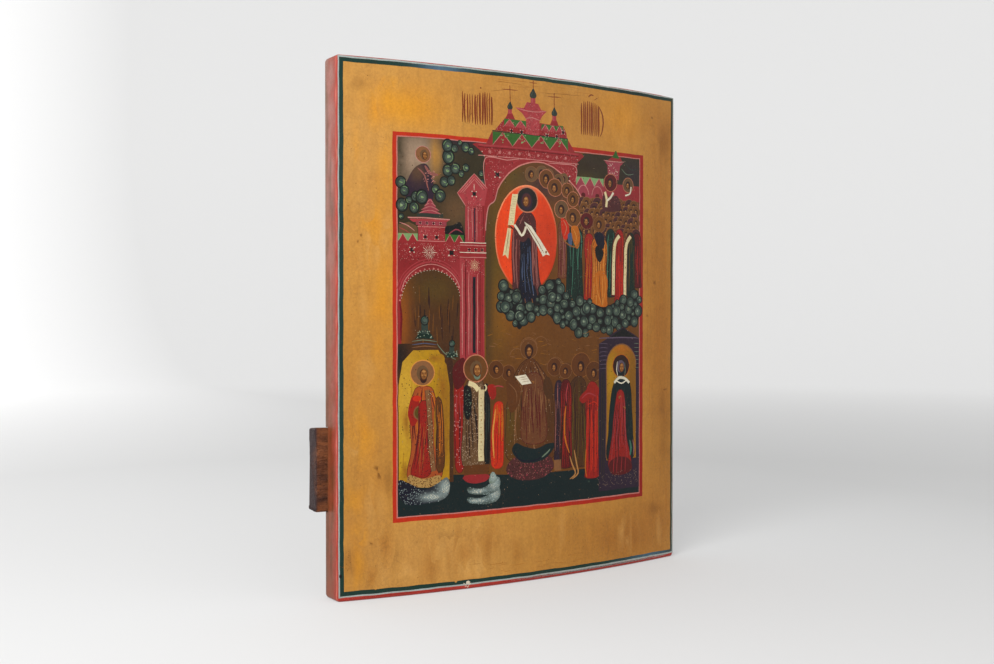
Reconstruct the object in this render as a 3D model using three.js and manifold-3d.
// Icon panel: a bowed wooden board, painted on its front, with two dovetailed battens
// let into its back from opposite sides.
// Millimetres. +X is to the right seen from the front, +Y goes into the board, +Z is up.
// The origin is the middle of the underside, half-way through the board.

import * as THREE from 'three';
import Module from 'manifold-3d';
import { mergeVertices } from 'three/addons/utils/BufferGeometryUtils.js';

const wasm = await Module();
wasm.setup();

// Board
const boardWidth = 286;
const boardHeight = 356;
const boardThickness = 21;
const boardBow = 14.7; // how far the middle of the front stands out before its two sides
const boardFacets = 45; // odd, so that the middle facet faces straight back
const frontArris = 2; // rounding of the upright edges of the front
const backArris = 5; // rounding of the upright edges of the back
const endArris = 1.5; // rounding all round the top and the underside
const arrisSteps = 4;

// Battens
const battenFromEnd = 85; // middle line of each batten from the nearer end of the board
const battenThickness = 11.5;
const battenWideEnd = 56;
const battenNarrowEnd = 46;
const battenOverhang = 8.8; // what stands out past the side it is driven in from
const battenRound = 2.5; // rounding of the back edges and of both ends
const dovetailAngle = 6; // degrees that each long side leans in, going out of the groove

// Grooves
const grooveDepth = 6.3;
const grooveStop = 20; // solid wood left between a groove's blind end and the far side
const fitClearance = 0.3;

const halfWidth = boardWidth / 2;
const dovetailLean = Math.tan(THREE.MathUtils.degToRad(dovetailAngle));

// The bowed front and back are the same curve, one board thickness apart.
function frontDepth(x) {
  return -boardThickness / 2 + boardBow * (x / halfWidth) ** 2;
}

function backDepth(x) {
  return frontDepth(x) + boardThickness;
}

// Places across the board where its facets meet, with the two ends that are asked for.
function stationsBetween(left, right) {
  const stations = [left];
  const leastStep = boardWidth / boardFacets / 4;
  for (let i = 0; i <= boardFacets; i++) {
    const x = boardWidth * (i / boardFacets - 0.5);
    if (x > left + leastStep && x < right - leastStep) stations.push(x);
  }
  stations.push(right);
  return stations;
}

// Plan of the board, seen from above: bowed front, straight sides, bowed back.
function boardPlan() {
  const plan = new THREE.Shape();
  const frontStations = stationsBetween(-halfWidth + frontArris, halfWidth - frontArris);
  const backStations = stationsBetween(-halfWidth + backArris, halfWidth - backArris).reverse();
  const sideFront = frontDepth(halfWidth);
  const sideBack = backDepth(halfWidth);
  plan.moveTo(frontStations[0], frontDepth(frontStations[0]));
  frontStations.slice(1).forEach((x) => plan.lineTo(x, frontDepth(x)));
  plan.quadraticCurveTo(halfWidth, sideFront, halfWidth, sideFront + frontArris);
  plan.lineTo(halfWidth, sideBack - backArris);
  plan.quadraticCurveTo(halfWidth, sideBack, backStations[0], backDepth(backStations[0]));
  backStations.slice(1).forEach((x) => plan.lineTo(x, backDepth(x)));
  plan.quadraticCurveTo(-halfWidth, sideBack, -halfWidth, sideBack - backArris);
  plan.lineTo(-halfWidth, sideFront + frontArris);
  plan.quadraticCurveTo(-halfWidth, sideFront, frontStations[0], frontDepth(frontStations[0]));
  return plan;
}

function boardBlank() {
  const blank = new THREE.ExtrudeGeometry(boardPlan(), {
    depth: boardHeight - 2 * endArris,
    curveSegments: arrisSteps,
    bevelThickness: endArris,
    bevelSize: endArris,
    bevelOffset: -endArris,
    bevelSegments: arrisSteps - 1,
  });
  return blank.translate(0, 0, endArris);
}

// Outline of a batten across its length, as [height along the board, depth from the back face].
// It is widest on the groove's floor and its back edges are rounded.
function battenSection(wide, floor, back, round) {
  const halfAt = (depth) => wide / 2 - (depth - floor) * dovetailLean;
  const side = [[halfAt(floor), floor]];
  for (let i = 0; i <= arrisSteps; i++) {
    const turn = (Math.PI / 2) * (i / arrisSteps);
    const depth = back - round + round * Math.sin(turn);
    side.push([halfAt(back - round) - round * (1 - Math.cos(turn)), depth]);
  }
  const mirrored = side.map(([height, depth]) => [-height, depth]).reverse();
  return [...side, ...mirrored];
}

// A closed bar: the same outline at each station, joined by quads, with a flat cap at each end.
// Its outline lies in the plane across the board and follows the board's back.
function barAlongBack(stations, middleHeight, sectionAt) {
  const rings = stations.map((x) =>
    sectionAt(x).map(([height, depth]) => [x, backDepth(x) + depth, middleHeight + height]),
  );
  const size = rings[0].length;
  const index = [];
  for (let ring = 0; ring < rings.length - 1; ring++) {
    for (let i = 0; i < size; i++) {
      const a = ring * size + i;
      const b = ring * size + ((i + 1) % size);
      index.push(a, a + size, b, b, a + size, b + size);
    }
  }
  const last = (rings.length - 1) * size;
  for (let i = 1; i < size - 1; i++) {
    index.push(0, i, i + 1);
    index.push(last, last + i + 1, last + i);
  }
  const geometry = new THREE.BufferGeometry();
  geometry.setAttribute('position', new THREE.Float32BufferAttribute(rings.flat(2), 3));
  geometry.setIndex(index);
  return geometry;
}

// A batten narrows evenly from the side it is driven in from to the groove's blind end.
// entry is -1 for the left side and 1 for the right side.
function battenWidthAt(x, entry) {
  const driven = halfWidth - entry * x;
  const run = boardWidth - grooveStop;
  return battenWideEnd - (battenWideEnd - battenNarrowEnd) * (driven / run);
}

function battenBar(entry, middleHeight) {
  const outerEnd = entry * (halfWidth + battenOverhang);
  const innerEnd = -entry * (halfWidth - grooveStop);
  const left = Math.min(outerEnd, innerEnd);
  const right = Math.max(outerEnd, innerEnd);
  const back = battenThickness - grooveDepth;
  const rounding = [];
  for (let i = 1; i <= arrisSteps; i++) {
    rounding.push(battenRound * (1 - Math.cos((Math.PI / 2) * (i / arrisSteps))));
  }
  const stations = [
    left,
    ...rounding.slice(0, -1).map((step) => left + step),
    ...stationsBetween(left + battenRound, right - battenRound),
    ...rounding.slice(0, -1).reverse().map((step) => right - step),
    right,
  ];
  return barAlongBack(stations, middleHeight, (x) => {
    const short = Math.max(0, battenRound - Math.min(x - left, right - x));
    const drop = battenRound - Math.sqrt(battenRound ** 2 - short ** 2);
    return battenSection(battenWidthAt(x, entry), -grooveDepth, back - drop, battenRound);
  });
}

// The cut for a batten: its outline with the clearance round it, open at the entry side.
function grooveCut(entry, middleHeight) {
  const outerEnd = entry * (halfWidth + battenOverhang);
  const innerEnd = -entry * (halfWidth - grooveStop + fitClearance);
  const stations = stationsBetween(Math.min(outerEnd, innerEnd), Math.max(outerEnd, innerEnd));
  const sideways = 2 * fitClearance * Math.hypot(1, dovetailLean);
  const floor = -grooveDepth - fitClearance;
  return barAlongBack(stations, middleHeight, (x) => {
    const wide = battenWidthAt(x, entry) + sideways + 2 * fitClearance * dovetailLean;
    return battenSection(wide, floor, battenThickness, battenRound);
  });
}

function toSolid(geometry) {
  const bare = new THREE.BufferGeometry();
  bare.setAttribute('position', geometry.getAttribute('position'));
  bare.setIndex(geometry.getIndex());
  const merged = mergeVertices(bare, 1e-4);
  return new wasm.Manifold(
    new wasm.Mesh({
      numProp: 3,
      vertProperties: new Float32Array(merged.getAttribute('position').array),
      triVerts: new Uint32Array(merged.getIndex().array),
    }),
  );
}

function toGeometry(solid) {
  const { vertProperties, triVerts } = solid.getMesh();
  const geometry = new THREE.BufferGeometry();
  geometry.setAttribute('position', new THREE.BufferAttribute(vertProperties, 3));
  geometry.setIndex(new THREE.BufferAttribute(triVerts, 1));
  return geometry;
}

function namedMesh(name, geometry, material) {
  const mesh = new THREE.Mesh(geometry, material);
  mesh.name = name;
  return mesh;
}

const ochrePaint = new THREE.MeshStandardMaterial({
  color: 0xc08a3c,
  roughness: 0.45,
  metalness: 0,
  flatShading: true,
});

const darkWood = new THREE.MeshStandardMaterial({
  color: 0x6e4128,
  roughness: 0.7,
  metalness: 0,
  flatShading: true,
});

const lowerMiddle = battenFromEnd;
const upperMiddle = boardHeight - battenFromEnd;

const board = toSolid(boardBlank())
  .subtract(toSolid(grooveCut(-1, lowerMiddle)))
  .subtract(toSolid(grooveCut(1, upperMiddle)));

const iconPanel = new THREE.Group();
iconPanel.add(namedMesh('board', toGeometry(board), ochrePaint));
iconPanel.add(namedMesh('lower_batten', battenBar(-1, lowerMiddle), darkWood));
iconPanel.add(namedMesh('upper_batten', battenBar(1, upperMiddle), darkWood));

export default iconPanel;
